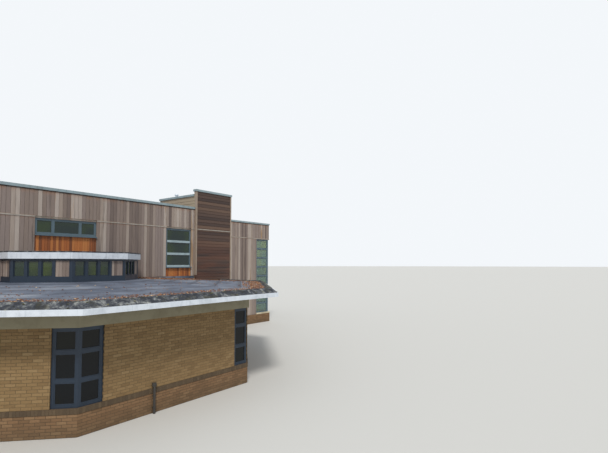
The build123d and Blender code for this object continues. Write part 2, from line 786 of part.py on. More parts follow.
with BuildPart() as pavilion_roof_deck:
    with BuildSketch(Plane.XY.offset(deck_foot)):
        octagon(deck_reach)
    extrude(amount=fascia_top - deck_foot)
    with BuildSketch(Plane.XY.offset(fascia_top)):
        octagon(gutter_reach)
    extrude(amount=roof_at_lantern - fascia_top)
    shave_slopes(gutter_reach, gutter_level, lantern_reach, roof_at_lantern)
    with BuildSketch(Plane.XY.offset(deck_foot)):
        octagon(lantern_reach - lantern_wall_thickness)
    extrude(amount=roof_at_lantern - deck_foot, mode=Mode.SUBTRACT)
    cut_at_main_walls(deck_foot, roof_at_lantern, structure_y)
    block(-tower_inner_x, tower_inner_x, front_y + upstand_setback, structure_y, deck_foot, front_boards_foot)
finish(pavilion_roof_deck, "pavilion_roof_deck")

with BuildPart() as pavilion_kerb:
    with BuildSketch(Plane.XY.offset(fascia_top)):
        octagon(deck_reach)
    with BuildSketch(Plane.XY.offset(kerb_top)):
        octagon(kerb_reach + kerb_crest)
    loft(ruled=True)
    with BuildSketch(Plane.XY.offset(fascia_top)):
        octagon(gutter_reach)
    extrude(amount=gutter_level - fascia_top, mode=Mode.SUBTRACT)
    with BuildSketch(Plane.XY.offset(gutter_level)):
        octagon(gutter_reach)
    with BuildSketch(Plane.XY.offset(kerb_top)):
        octagon(kerb_reach)
    loft(ruled=True, mode=Mode.SUBTRACT)
    cut_at_main_walls(fascia_top, kerb_top)
finish(pavilion_kerb, "pavilion_kerb")

with BuildPart() as pavilion_fascia:
    with BuildSketch(Plane.XY.offset(frieze_top)):
        octagon_ring(eaves_apothem, deck_reach, front_y)
        cut_towers(tower_front_y)
    extrude(amount=fascia_top - frieze_top)
finish(pavilion_fascia, "pavilion_fascia")

# Lantern: kerb and head rails, posts, lights, boarded panels and a flat roof
lantern_half_side = lantern_reach * tan(pi / 8)
lantern_glazed_turns = (-45, 0, 45)
lantern_light_span = 2 * (lantern_half_side - lantern_post_width) - lantern_panel_width
lantern_light_width = (lantern_light_span - lantern_lights * lantern_post_width) / lantern_lights
light_pitch = lantern_light_width + lantern_post_width
first_light = -lantern_half_side + lantern_post_width + lantern_light_width / 2
light_places = [first_light + index * light_pitch for index in range(lantern_lights)]
mullion_places = [place + light_pitch / 2 for place in light_places]
panel_place = lantern_half_side - lantern_post_width - lantern_panel_width / 2
lantern_light_head = lantern_head - lantern_head_rail

with BuildPart() as lantern_frames:
    for foot, head in ((roof_at_lantern, lantern_kerb_top), (lantern_light_head, lantern_head)):
        with BuildSketch(Plane.XY.offset(foot)):
            octagon_ring(lantern_reach, lantern_reach - lantern_wall_thickness, front_y)
        extrude(amount=head - foot)
    with BuildSketch(Plane.XY.offset(lantern_kerb_top)):
        corner_strips(lantern_reach, lantern_wall_thickness, lantern_half_side, lantern_post_width, front_y)
        side_strips(lantern_reach, lantern_wall_thickness, mullion_places, lantern_post_width,
                    lantern_glazed_turns)
    extrude(amount=lantern_light_head - lantern_kerb_top)
finish(lantern_frames, "lantern_frames")

with BuildPart() as lantern_glass:
    with BuildSketch(Plane.XY.offset(lantern_kerb_top)):
        side_strips(lantern_reach - frame_setback, glass_thickness, light_places,
                    lantern_light_width, lantern_glazed_turns)
    extrude(amount=lantern_light_head - lantern_kerb_top)
finish(lantern_glass, "lantern_glass")

with BuildPart() as lantern_panels:
    with BuildSketch(Plane.XY.offset(lantern_kerb_top)):
        side_strips(lantern_reach - panel_thickness / 2, panel_thickness, [panel_place],
                    lantern_panel_width, lantern_glazed_turns)
        side_strips(lantern_reach - panel_thickness / 2, panel_thickness, [0],
                    2 * (lantern_half_side - lantern_post_width), (-90, 90))
        keep_in_front(front_y)
    extrude(amount=lantern_light_head - lantern_kerb_top)
finish(lantern_panels, "lantern_panels")

lantern_fascia_top = lantern_head + lantern_fascia_height
lantern_eaves_reach = lantern_reach + lantern_eaves_overhang
lantern_deck_reach = lantern_eaves_reach - lantern_fascia_thickness
with BuildPart() as lantern_roof_deck:
    with BuildSketch(Plane.XY.offset(lantern_head)):
        octagon(lantern_deck_reach)
    extrude(amount=lantern_fascia_height + lantern_roof_rise)
    shave_slopes(lantern_deck_reach, lantern_fascia_top, lantern_crown_reach, lantern_fascia_top + lantern_roof_rise)
    block(-far, far, front_y, front_y + far, lantern_head, parapet_top, mode=Mode.SUBTRACT)
finish(lantern_roof_deck, "lantern_roof_deck")

with BuildPart() as lantern_fascia:
    with BuildSketch(Plane.XY.offset(lantern_head)):
        octagon_ring(lantern_eaves_reach, lantern_deck_reach, front_y)
    extrude(amount=lantern_fascia_height)
finish(lantern_fascia, "lantern_fascia")
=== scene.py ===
# %% [markdown]
# A school building: a two-storey block clad in boards, with two small towers, and in front
# of it an eight-sided brick pavilion whose felt roof carries a little lantern of windows.
# Its walls, roofs, frames and copings come as exact solids. This lesson gives them what a
# builder would add: boards, bricks, felt, beads, moss and dead leaves, and a finish on each.

# %% Load the fixed frame
import json
import math
import random

import bpy
from mathutils import Matrix, Vector


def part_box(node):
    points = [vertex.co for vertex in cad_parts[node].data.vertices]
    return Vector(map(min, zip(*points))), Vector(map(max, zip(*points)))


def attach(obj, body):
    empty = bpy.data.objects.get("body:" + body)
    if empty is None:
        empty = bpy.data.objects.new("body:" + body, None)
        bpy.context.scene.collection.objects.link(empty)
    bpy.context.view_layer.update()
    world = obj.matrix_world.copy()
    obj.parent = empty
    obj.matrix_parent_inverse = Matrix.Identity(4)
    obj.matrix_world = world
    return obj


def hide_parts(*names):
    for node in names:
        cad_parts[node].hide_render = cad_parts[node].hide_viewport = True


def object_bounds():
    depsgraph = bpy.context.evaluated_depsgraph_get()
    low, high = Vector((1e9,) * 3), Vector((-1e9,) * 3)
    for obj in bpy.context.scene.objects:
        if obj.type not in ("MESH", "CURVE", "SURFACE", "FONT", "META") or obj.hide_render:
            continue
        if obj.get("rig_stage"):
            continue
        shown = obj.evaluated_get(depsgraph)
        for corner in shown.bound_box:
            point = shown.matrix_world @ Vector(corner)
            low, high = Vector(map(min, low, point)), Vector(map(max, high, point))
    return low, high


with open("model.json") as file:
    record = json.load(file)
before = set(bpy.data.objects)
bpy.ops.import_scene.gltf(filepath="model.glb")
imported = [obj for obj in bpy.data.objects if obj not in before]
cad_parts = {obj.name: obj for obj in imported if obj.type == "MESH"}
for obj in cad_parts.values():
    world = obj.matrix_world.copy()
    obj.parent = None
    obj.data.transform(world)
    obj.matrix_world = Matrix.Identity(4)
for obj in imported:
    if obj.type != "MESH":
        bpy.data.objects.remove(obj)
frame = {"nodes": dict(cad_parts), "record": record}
nodes = frame["nodes"]
cad_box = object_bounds()
print(len(nodes), "nodes loaded, box", cad_box)

# %% [markdown]
# The view is taken from higher ground in front of the left half, along the pavilion. The
# lens looks up by some two degrees, and a small shift brings the horizon to its height.

# %% Set the camera
camera_place = Vector((-7.493, -18.768, 3.950))
camera_heading = math.radians(36.522 - 90)
camera_pitch = math.radians(92.569)
picture_width = 608
pixels_up = 18.14

bpy.ops.object.camera_add(location=camera_place, rotation=(camera_pitch, 0, camera_heading))
camera = bpy.context.active_object
camera.name = "viewpoint"
camera.data.sensor_width = 36
camera.data.lens = 24.859
camera.data.shift_y = pixels_up / picture_width
camera.data.clip_end = 2000
bpy.context.scene.camera = camera
print("camera at", tuple(camera_place))

# %% [markdown]
# A building stands on the ground, so the floor is one wide pale disc. The light is a soft
# even sky, with one broad lamp high on the left that gives the boards and bricks an edge.

# %% Floor and light
floor_radius = 600
floor_drop = 0.004
sun_turns = (math.radians(42), 0, math.radians(-48))

bpy.ops.object.select_all(action="DESELECT")
bpy.ops.mesh.primitive_circle_add(vertices=96, radius=floor_radius, fill_type="NGON",
                                  location=(0, 0, -floor_drop))
floor = bpy.context.active_object
floor.name = "floor"
floor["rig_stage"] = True
bpy.ops.object.light_add(type="SUN", rotation=sun_turns)
sun = bpy.context.active_object
sun.name = "sun"
sun.data.energy = 1.9
sun.data.angle = math.radians(12)
sun.data.color = (1.0, 0.965, 0.91)
bpy.context.scene.view_settings.view_transform = "Standard"


def feed(tree, socket, value):
    """Link a reading or another socket to this one, or set it to a plain value."""
    source = getattr(value, "socket", value)
    if isinstance(source, bpy.types.NodeSocket):
        tree.links.new(source, socket)
    else:
        socket.default_value = value


def add_node(tree, kind, inputs, **settings):
    """Add a node: its settings first, then a value or a link for each of its sockets."""
    item = tree.nodes.new(kind)
    for name, value in settings.items():
        if name == "stops":
            set_stops(item.color_ramp, value)
        else:
            setattr(item, name, value)
    for name, value in inputs.items():
        feed(tree, item.inputs[name], value)
    return item.outputs


def light_the_sky(strength, shade, seen):
    """The sky lights the object at one level, and shows as a paler one, in gloss and glass too."""
    world = bpy.data.worlds.new("sky")
    bpy.context.scene.world = world
    world.use_nodes = True
    tree = world.node_tree
    lamp = tree.nodes["Background"]
    lamp.inputs["Color"].default_value = (*shade, 1)
    lamp.inputs["Strength"].default_value = strength
    plain = add_node(tree, "ShaderNodeBackground", {"Color": (*seen, 1)})
    rays = add_node(tree, "ShaderNodeLightPath", {})
    shows = rays["Is Camera Ray"]
    for kind in ("Is Glossy Ray", "Is Transmission Ray"):
        shows = add_node(tree, "ShaderNodeMath", {0: shows, 1: rays[kind]}, operation="MAXIMUM")[0]
    mixed = add_node(tree, "ShaderNodeMixShader", {0: shows, 1: lamp.outputs[0], 2: plain[0]})
    feed(tree, tree.nodes["World Output"].inputs["Surface"], mixed[0])


light_the_sky(0.62, (0.90, 0.95, 1.0), (0.90, 0.93, 0.96))
print("floor, sky and", sun.name)

# %% [markdown]
# A finish is a sum: a board is its own tone, times its grain, plus a stain. In Blender each
# plus and times is a node, which hides the sum in a tangle of links. The class below wraps
# the output of a node, so that the sum can be written as it is read.

# %% Sums on a surface
def colour(red, green, blue):
    """A screen colour, 0 to 255, as the linear one that a shader takes."""
    shares = (red / 255, green / 255, blue / 255)
    return tuple(((v + 0.055) / 1.055) ** 2.4 if v > 0.04 else v / 12.92 for v in shares) + (1,)


def set_stops(ramp, stops):
    """A stop is a place from 0 to 1 and a screen colour."""
    while len(ramp.elements) < len(stops):
        ramp.elements.new(0.5)
    for element, (place, *shade) in zip(ramp.elements, stops):
        element.position = place
        element.color = colour(*shade)


class Reading:
    """A number read off the surface. Each operator adds the Math node that works it out."""

    def __init__(self, paint, socket):
        self.paint, self.socket = paint, socket

    def sum(self, operation, first, second):
        return self.paint.node("Math", {"operation": operation}, {0: first, 1: second})

    def __add__(self, other):
        return self.sum("ADD", self, other)

    __radd__ = __add__

    def __sub__(self, other):
        return self.sum("SUBTRACT", self, other)

    def __rsub__(self, other):
        return self.sum("SUBTRACT", other, self)

    def __mul__(self, other):
        return self.sum("MULTIPLY", self, other)

    __rmul__ = __mul__

    def size(self):
        return self.sum("ABSOLUTE", self, 0.0)

    def larger(self, other):
        return self.sum("MAXIMUM", self, other)

    def part(self):
        return self.sum("FRACT", self, 0.0)

    def above(self, low, high):
        """0 below the first value, 1 above the second, and a smooth rise between them."""
        inputs = {"Value": self, "From Min": low, "From Max": high}
        return self.paint.node("MapRange", {"interpolation_type": "SMOOTHSTEP"}, inputs)


print("half of screen white is", round(colour(128, 128, 128)[0], 3), "of the light")

# %% A finish
class Paint:
    """One finish, built up node by node on a Principled shader."""

    def __init__(self, name, roughness=0.6, metallic=0.0):
        self.material = bpy.data.materials.new(name)
        self.material.use_nodes = True
        self.tree = self.material.node_tree
        self.shader = self.tree.nodes["Principled BSDF"]
        self.set(Roughness=roughness, Metallic=metallic)

    def node(self, kind, settings, inputs, output=0):
        """Add a shader node and read one of its outputs."""
        return Reading(self, add_node(self.tree, "ShaderNode" + kind, inputs, **settings)[output])

    def set(self, **sockets):
        """Feed the shader's own sockets, with _ for each space in a name."""
        for name, value in sockets.items():
            feed(self.tree, self.shader.inputs[name.replace("_", " ")], value)

    def place(self, stretch):
        """The point of the surface in metres, stretched along each axis."""
        spot = self.node("TexCoord", {}, {}, "Object")
        return self.node("Mapping", {}, {"Vector": spot, "Scale": stretch})

    def axis(self, name):
        return self.node("SeparateXYZ", {}, {0: self.node("TexCoord", {}, {}, "Object")}, name)

    def noise(self, scale, stretch=(1, 1, 1), detail=4.0, rough=0.55):
        inputs = {"Vector": self.place(stretch), "Scale": scale, "Detail": detail, "Roughness": rough}
        return self.node("TexNoise", {}, inputs)

    def tone(self):
        """The number, 0 to 1, that each board, brick or leaf carries."""
        return self.node("Attribute", {"attribute_name": "tone"}, {}, "Fac")

    def ramp(self, value, *stops):
        return self.node("ValToRGB", {"stops": stops}, {"Fac": value})

    def mix(self, factor, first, second, blend="MIX"):
        """Two colours, mixed by a number. Sockets 6 and 7 of a colour mix are A and B."""
        settings = {"data_type": "RGBA", "blend_type": blend}
        return self.node("Mix", settings, {0: factor, 6: first, 7: second}, 2)

    def speckle(self, base, low, depth, grain):
        """A colour times a grey that runs from `low` up by `depth` with the grain."""
        level = low + grain * depth
        grey = self.node("CombineColor", {}, {0: level, 1: level, 2: level})
        return self.mix(1.0, base, grey, "MULTIPLY")

    def bump(self, height, distance):
        """Small relief, in metres from its lowest to its highest."""
        self.set(Normal=self.node("Bump", {}, {"Height": height, "Distance": distance, "Strength": 1.0}))


print("sums ready")

# %% [markdown]
# Cedar starts orange and turns silver where rain and sun reach it. Every board does so at
# its own pace, so each carries a tone of its own. Grain runs along the board: it is noise
# pulled out along one axis. Under the copings and above the flashings the boards stay dry
# and keep some of their first colour.

# %% Wood
main_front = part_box("front_cladding")[0].y
flashing_level = 5.60
coping_level = 6.60


def wood(name, stops, along, grain=0.35, stain=0.45, roughness=0.78):
    """Weathered boards whose grain runs along one axis, or along both level ones."""
    paint = Paint(name, roughness)
    lines = {"Z": (1, 1, 0.03), "XY": (0.03, 0.03, 1)}[along]
    patch = {"Z": (1, 1, 0.10), "XY": (0.10, 0.10, 1)}[along]
    fine = paint.noise(95, lines, 6, 0.65)
    broad = paint.noise(5.5, patch, 3)
    base = paint.ramp(paint.tone() + (broad - 0.5) * 0.35, *stops)
    grained = paint.speckle(base, 1 - grain, grain * 2, fine)
    soaked = paint.mix(broad.above(0.56, 0.75) * stain, grained, colour(62, 50, 44))
    paint.bump(fine, 0.0016)
    paint.set(Roughness=roughness - 0.1 + fine * 0.2, Base_Color=soaked)
    return paint, soaked, broad


def cedar():
    """Silvered boards, orange where they are sheltered, with a painted shadow line right under the
    coping.
    """
    stops = ((0.0, 106, 93, 88), (0.25, 134, 119, 110), (0.50, 140, 126, 120),
             (0.75, 158, 143, 132), (0.95, 178, 166, 157), (1.0, 166, 136, 106))
    paint, base, broad = wood("weathered_cedar", stops, "Z")
    height = paint.axis("Z")
    under_coping = height.above(coping_level - 0.22, coping_level)
    over_flashing = 1 - height.above(flashing_level + 0.02, flashing_level + 0.10)
    by_flashing = height.above(flashing_level - 0.10, flashing_level) * over_flashing
    dry = (under_coping + by_flashing * 0.7) * broad.above(0.34, 0.62) * 0.45
    orange = paint.mix(dry, base, colour(162, 108, 68))
    # Painted shadow: a dark line on the boards just under the coping stands for the shade the coping
    # casts.
    damp = height.above(coping_level - 0.05, coping_level - 0.03) * 0.85
    paint.set(Base_Color=paint.mix(damp, orange, colour(52, 44, 40)))
    return paint.material


def dark_cladding():
    """The towers: dark boards on the front, and on the sides a tan that is painted sunlight on the same
    boards.
    """
    stops = ((0.0, 66, 52, 48), (0.4, 82, 65, 58), (0.7, 92, 72, 62), (1.0, 108, 86, 72))
    paint, base, broad = wood("dark_tower_boards", stops, "XY")
    low = 1 - paint.axis("Z").above(3.6, 6.2)
    redder = paint.mix(low * broad.above(0.30, 0.62) * 0.5, base, colour(112, 70, 52))
    # Painted sunlight: the sides of the towers are lightened to tan, while the front keeps the dark
    # tone.
    bleached = paint.mix(0.78, base, colour(184, 168, 144))
    side = paint.axis("Y").above(main_front - 0.01, main_front)
    paint.set(Base_Color=paint.mix(side, redder, bleached))
    return paint.material


oiled = ((0.0, 112, 64, 36), (0.35, 158, 90, 44), (0.7, 176, 106, 53), (1.0, 188, 122, 66))
shaded = ((0.0, 66, 58, 48), (0.5, 88, 78, 62), (1.0, 108, 96, 76))
finishes = {
    "cedar_boards": cedar(),
    "dark_boards": dark_cladding(),
    "panel_boards": wood("oiled_cedar", oiled, "Z", 0.3, 0.7, 0.62)[0].material,
    "soffit_boards": wood("stained_soffit", shaded, "XY", 0.25, 0.2)[0].material,
}
print("wood:", sorted(finishes))

# %% [markdown]
# Painted metal on a school is never clean. Rain draws thin streaks down it, dirt sits in
# blotches, and the coating chalks where the sun is strong. All three are noise at different
# stretches, and one function makes every coated piece from its two colours.

# %% Coated metal
def make_finishes(kind, table):
    """A row of the table is a slot, a name, two screen colours and what else the function takes."""
    for slot, (name, first, second, *rest) in table.items():
        finishes[slot] = kind(name, colour(*first), colour(*second), *rest)


def coated(name, clean, dirty, roughness, streak, blotch, metallic=0.0):
    """A coating with streaks down it and blotches of dirt."""
    paint = Paint(name, roughness, metallic)
    streaks = paint.noise(11, (1, 1, 0.10), 6, 0.7).above(0.50, 0.80)
    blotches = paint.noise(3.2, detail=6, rough=0.62).above(0.42, 0.72)
    dirt = streaks * streak + blotches * blotch
    paint.set(Base_Color=paint.mix(dirt, clean, dirty), Roughness=roughness + dirt * 0.3)
    paint.bump(paint.noise(160, detail=2), 0.0003)
    return paint.material


make_finishes(coated, {
    "coping": ("grey_blue_coping", (146, 164, 170), (92, 100, 98), 0.42, 0.4, 0.35),
    "white_trim": ("white_fascia", (222, 229, 238), (146, 156, 168), 0.40, 0.45, 0.35),
    "frieze": ("olive_frieze", (146, 139, 114), (118, 110, 88), 0.55, 0.15, 0.4),
    "window_frames": ("grey_blue_frames", (84, 104, 115), (56, 70, 80), 0.35, 0.25, 0.3),
    # Pale metal for the door handles and threshold; on the cross-bar caps the same pale colour is a
    # painted highlight.
    "pale_bars": ("pale_glazing_bars", (162, 180, 186), (112, 126, 132), 0.3, 0.3, 0.3),
    "dark_frames": ("slate_frames", (32, 47, 64), (21, 31, 42), 0.38, 0.2, 0.3),
    "flashing": ("mill_flashing", (168, 160, 150), (116, 104, 94), 0.42, 0.3, 0.5, 0.4),
    "corner_trim": ("brown_corner_trim", (160, 143, 127), (120, 104, 92), 0.5, 0.4, 0.4),
    "iron": ("tarred_iron", (62, 58, 54), (40, 37, 34), 0.55, 0.3, 0.5),
})
print("coated metal:", len(finishes), "finishes so far")

# %% [markdown]
# The bricks are wire-cut buff ones, laid in stretcher bond. Each has its own burn, so its
# tone picks the colour, and fine sand roughens it. Mortar is the wall's own solid, which
# stays behind the bricks, so it is pale and grainy.

# %% Masonry
def brick(name, *stops):
    """Fired clay with sand on it, one colour for each brick, and grime near the ground."""
    paint = Paint(name, 0.88)
    sand = paint.noise(220, detail=3)
    smoke = paint.noise(22, detail=5)
    base = paint.ramp(paint.tone(), *stops)
    burnt = paint.mix(smoke.above(0.52, 0.74) * 0.3, base, colour(86, 64, 44))
    grimy = paint.mix((1 - paint.axis("Z").above(0.0, 0.45)) * 0.35, burnt, colour(66, 62, 46))
    paint.set(Base_Color=paint.speckle(grimy, 0.8, 0.4, sand))
    paint.bump(sand + smoke * 2, 0.0014)
    return paint.material


def mineral(name, clean, dirty, grain, relief):
    """Mortar, stone or screed: a plain colour with grain and broad stains."""
    paint = Paint(name, 0.9)
    fine = paint.noise(grain, detail=5, rough=0.65)
    stains = paint.noise(1.7, detail=5).above(0.42, 0.70)
    base = paint.mix(stains * 0.6, clean, dirty)
    paint.set(Base_Color=paint.speckle(base, 0.82, 0.36, fine))
    paint.bump(fine, relief)
    return paint.material


finishes["buff_brick"] = brick("buff_brick", (0.0, 126, 101, 67), (0.3, 135, 109, 73),
                               (0.7, 141, 115, 78), (0.95, 145, 119, 82), (1.0, 151, 126, 89))
finishes["plinth_brick"] = brick("plinth_brick", (0.0, 116, 89, 62), (0.4, 127, 97, 68),
                                 (0.8, 134, 104, 74), (1.0, 140, 111, 80))
finishes["sill_brick"] = brick("dark_sill_brick", (0.0, 80, 66, 50), (0.5, 88, 73, 55),
                               (1.0, 98, 82, 62))
make_finishes(mineral, {
    "mortar": ("buff_mortar", (112, 95, 68), (86, 72, 52), 150, 0.002),
    "dark_mortar": ("dark_mortar", (92, 76, 58), (66, 56, 44), 150, 0.002),
    "sill_stone": ("cast_stone", (214, 204, 178), (160, 148, 118), 120, 0.0008),
    "concrete": ("floor_screed", (150, 148, 140), (118, 114, 106), 60, 0.0008),
})
print("masonry done")

# %% [markdown]
# Roofing felt is bitumen with slate chips pressed into it. It sparkles a little, it dries
# in rings after rain, and it goes rusty brown where leaves rot on it. The kerb at the eaves
# stays damp, so pale lichen and dark moss take it over.

# %% Felt, lichen and leaves
kerb_width = 0.340
ring_count = 6
pavilion_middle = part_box("pavilion_fascia")[0].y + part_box("pavilion_fascia")[1].x
felt_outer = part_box("pavilion_roof_deck")[1].x - kerb_width
felt_width = (felt_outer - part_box("lantern_frames")[1].x + 0.2) / ring_count


def felt(name, ringed, *stops):
    """Blue-grey chips with tide marks. Rings have dirt along each lap, and mould by the eaves."""
    paint = Paint(name, 0.82)
    chips = paint.noise(420, detail=2)
    tide = paint.noise(0.8, detail=6, rough=0.6)
    mould = paint.noise(2.1, detail=7, rough=0.66)
    base = paint.ramp(tide, *stops)
    rotten = mould.above(0.54, 0.72) * 0.4
    if ringed:
        across = paint.axis("X").size()
        deep = (paint.axis("Y") - pavilion_middle).size()
        reach = across.larger(deep).larger((across + deep) * math.sqrt(0.5))
        lap = ((reach - felt_outer) * (1 / felt_width)).part()
        dirt = (lap.above(0.70, 0.99) + (1 - lap.above(0.0, 0.04))) * (0.35 + tide)
        base = paint.mix(dirt * 0.6, base, colour(44, 46, 54))
        rotten = rotten + reach.above(6.2, 7.2) * mould.above(0.40, 0.60) * 0.5
    else:
        base = paint.mix(paint.tone() * 0.45, base, colour(72, 77, 88))
    spoiled = paint.mix(rotten, base, colour(96, 74, 60))
    paint.set(Base_Color=paint.speckle(spoiled, 0.75, 0.5, chips), Roughness=0.9 - tide * 0.3)
    paint.bump(chips, 0.0012)
    return paint.material


def kerb():
    """Felt turned over a timber kerb, half hidden by lichen and moss."""
    paint = Paint("lichened_kerb", 0.9)
    crust = paint.noise(6, detail=8, rough=0.72)
    cushions = paint.noise(2.6, detail=6, rough=0.65)
    base = paint.ramp(crust, (0.40, 34, 38, 46), (0.50, 60, 64, 72), (0.57, 100, 103, 106),
                      (0.67, 166, 168, 164))
    paint.set(Base_Color=paint.mix(cushions.above(0.50, 0.64) * 0.6, base, colour(62, 60, 42)))
    paint.bump(crust + cushions, 0.004)
    return paint.material


def loose(name, *stops):
    """Leaves and moss: each piece has one colour and a little vein or fuzz."""
    paint = Paint(name, 0.8)
    vein = paint.noise(180, detail=3)
    paint.set(Base_Color=paint.speckle(paint.ramp(paint.tone(), *stops), 0.7, 0.6, vein))
    paint.bump(vein, 0.001)
    return paint.material


finishes["roof_felt"] = felt("mineral_felt", False, (0.30, 84, 90, 103), (0.50, 99, 105, 118),
                             (0.70, 118, 124, 136))
finishes["ringed_felt"] = felt("pavilion_mineral_felt", True, (0.30, 68, 76, 92),
                               (0.50, 102, 110, 126), (0.70, 142, 149, 161))
finishes["kerb_felt"] = kerb()
finishes["leaves"] = loose("dead_leaves", (0.0, 70, 45, 33), (0.40, 112, 69, 47),
                           (0.80, 152, 104, 68), (1.0, 214, 184, 146))
finishes["moss"] = loose("moss_cushions", (0.0, 44, 46, 30), (0.6, 86, 84, 48), (1.0, 150, 148, 120))
print("roof finishes done")

# %% [markdown]
# From outside by day a window is dark, with a sharp reflection. The green in the panes is a
# painted reflection of trees, and their dark is painted shade of the rooms behind. The rooms are
# built hollow, so real see-through glass shows through to the other side. Plaster lines the
# rooms, and above the roof the same walls wear felt.

# %% Glass and linings
roof_level = 6.25


def glass(name, cool, warm, clear, gloss):
    """Panes whose colour is painted reflection and painted shade, drifting from one tint to another,
    with a few smears.
    """
    paint = Paint(name, 0.03)
    smear = paint.noise(2.5, (1, 1, 0.4), 5).above(0.45, 0.75)
    cast = paint.noise(0.9, (1, 1, 0.8), 2).above(0.40, 0.60)
    paint.set(Base_Color=paint.mix(cast, cool, warm), Roughness=0.02 + smear * 0.04)
    paint.set(Transmission_Weight=clear, IOR=1.52, Specular_IOR_Level=gloss)
    return paint.material


def lining():
    """Plaster inside the rooms, and felt on the back of the parapets over the roof."""
    paint = Paint("plaster_and_upstand", 0.85)
    outside = paint.axis("Z").above(roof_level - 0.005, roof_level + 0.005)
    tide = paint.noise(1.1, detail=6)
    plaster = paint.mix(tide.above(0.45, 0.7) * 0.3, colour(206, 201, 188), colour(178, 172, 158))
    chips = paint.mix(tide.above(0.35, 0.65), colour(84, 90, 104), colour(122, 126, 138))
    paint.set(Base_Color=paint.mix(outside, plaster, chips))
    paint.bump(paint.noise(140, detail=4), 0.0008)
    return paint.material


def rubber():
    """The black beads round the panes, worn grey here and there."""
    paint = Paint("glazing_rubber", 0.5)
    wear = paint.noise(40, detail=4)
    paint.set(Base_Color=paint.mix(wear, colour(20, 22, 26), colour(48, 50, 54)))
    paint.bump(wear, 0.0005)
    return paint.material


# The glass tints are painted: green for trees seen in the panes, near black for painted shade of the
# rooms behind.
make_finishes(glass, {
    "glass": ("window_glass", (26, 46, 42), (46, 66, 34), 0.2, 0.38),
    "dark_glass": ("dark_window_glass", (10, 15, 20), (18, 21, 17), 0.2, 0.22),
    "clear_glass": ("clear_corner_glass", (150, 176, 166), (168, 184, 150), 0.75, 0.5),
    "lantern_glass": ("lantern_glass", (44, 66, 48), (74, 92, 34), 0.35, 0.5),
})
finishes["inner_wall"] = lining()
finishes["rubber"] = rubber()

pale_floor = Paint("pale_floor", 0.9)
pale_floor.set(Base_Color=colour(214, 213, 209))
floor.data.materials.append(pale_floor.material)

# %% [markdown]
# A node is one part of the exact model, and the record gives each a material slot. Some show
# more than their slot says: the walls behind the bricks are mortar, and the pavilion's panes are near
# black, painted shade of the dim rooms behind.

# %% Give every node its finish
slot_of = {part["node"]: part["material_slot"] for part in frame["record"]["subparts"]}
own_finish = {
    "pavilion_walls": "mortar", "pavilion_plinth": "dark_mortar", "main_plinth": "dark_mortar",
    "pavilion_sill_band": "dark_mortar", "pavilion_window_glass": "dark_glass",
    "lantern_glass": "lantern_glass", "corner_glazing_glass": "clear_glass",
    "tower_trims": "corner_trim", "pavilion_roof_deck": "ringed_felt",
}


def dress(piece, finish):
    """Put one finish on a piece, in place of what it had."""
    piece.data.materials.clear()
    piece.data.materials.append(finishes[finish])


for name, solid in nodes.items():
    dress(solid, own_finish.get(name, slot_of[name]))
print(len(nodes), "nodes have a finish")

# %% [markdown]
# Every new piece below starts as a primitive of Blender's and is shaped in edit mode, as it
# would be by hand. Two habits keep that safe in a script: everything is deselected before an
# operator runs, and faces are chosen by where they look or lie, never by their number.

# %% Habits for modelling
draw = random.Random(7)


def alone(piece):
    """Select one object and nothing else."""
    bpy.ops.object.select_all(action="DESELECT")
    piece.select_set(True)
    bpy.context.view_layer.objects.active = piece


def primitive(add, scale=(1, 1, 1), **settings):
    """One of Blender's primitives, with its place, turn and scale kept in its mesh."""
    bpy.ops.object.select_all(action="DESELECT")
    add(**settings)
    piece = bpy.context.active_object
    piece.scale = scale
    bpy.ops.object.transform_apply(location=True, rotation=True, scale=True)
    return piece


def cube(size, low):
    """A block of a given size, from its lowest corner."""
    middle = [low[i] + size[i] / 2 for i in range(3)]
    return primitive(bpy.ops.mesh.primitive_cube_add, size, size=1, location=middle)


def open_up(piece, faces="SELECT"):
    """Go into edit mode with all faces selected, or with none."""
    alone(piece)
    bpy.ops.object.mode_set(mode="EDIT")
    bpy.ops.mesh.select_mode(type="FACE")
    bpy.ops.mesh.select_all(action=faces)


def done():
    bpy.ops.object.mode_set(mode="OBJECT")


def pick(piece, test):
    """Go into edit mode with only the faces selected that pass a test."""
    open_up(piece, "DESELECT")
    done()
    for face in piece.data.polygons:
        face.select = test(face)
    bpy.ops.object.mode_set(mode="EDIT")


def looks(x, y, z):
    """A test for faces that look one way."""
    return lambda face: face.normal.dot(Vector((x, y, z))) > 0.9


def pull(x, y, z):
    """Extrude the selected faces along a line."""
    bpy.ops.mesh.extrude_region_move(TRANSFORM_OT_translate={"value": (x, y, z)})


# %% Rows, joins and cuts
def modify(piece, kind, **settings):
    """Add a modifier, set it and apply it."""
    alone(piece)
    modifier = piece.modifiers.new(kind.lower(), kind)
    for name, value in settings.items():
        setattr(modifier, name, value)
    bpy.ops.object.modifier_apply(modifier=modifier.name)


def ease(piece, width, segments=1):
    """Soften every sharp edge of a piece."""
    modify(piece, "BEVEL", width=width, segments=segments, limit_method="ANGLE")


def row(piece, step, count):
    """Repeat a piece along a straight line."""
    modify(piece, "ARRAY", use_relative_offset=False, use_constant_offset=True,
           constant_offset_displace=step, count=count)


def put(piece, place, turn=0.0):
    """Turn a piece about the upright axis, move it, and apply both to its mesh."""
    alone(piece)
    piece.location = place
    piece.rotation_euler = (0, 0, turn)
    bpy.ops.object.transform_apply(location=True, rotation=True, scale=True)


def joined(pieces, name):
    bpy.ops.object.select_all(action="DESELECT")
    for piece in pieces:
        piece.select_set(True)
    bpy.context.view_layer.objects.active = pieces[0]
    if len(pieces) > 1:
        bpy.ops.object.join()
    pieces[0].name = name
    return pieces[0]


def another(piece):
    """A second copy of a piece, with a mesh of its own."""
    alone(piece)
    bpy.ops.object.duplicate()
    return bpy.context.active_object


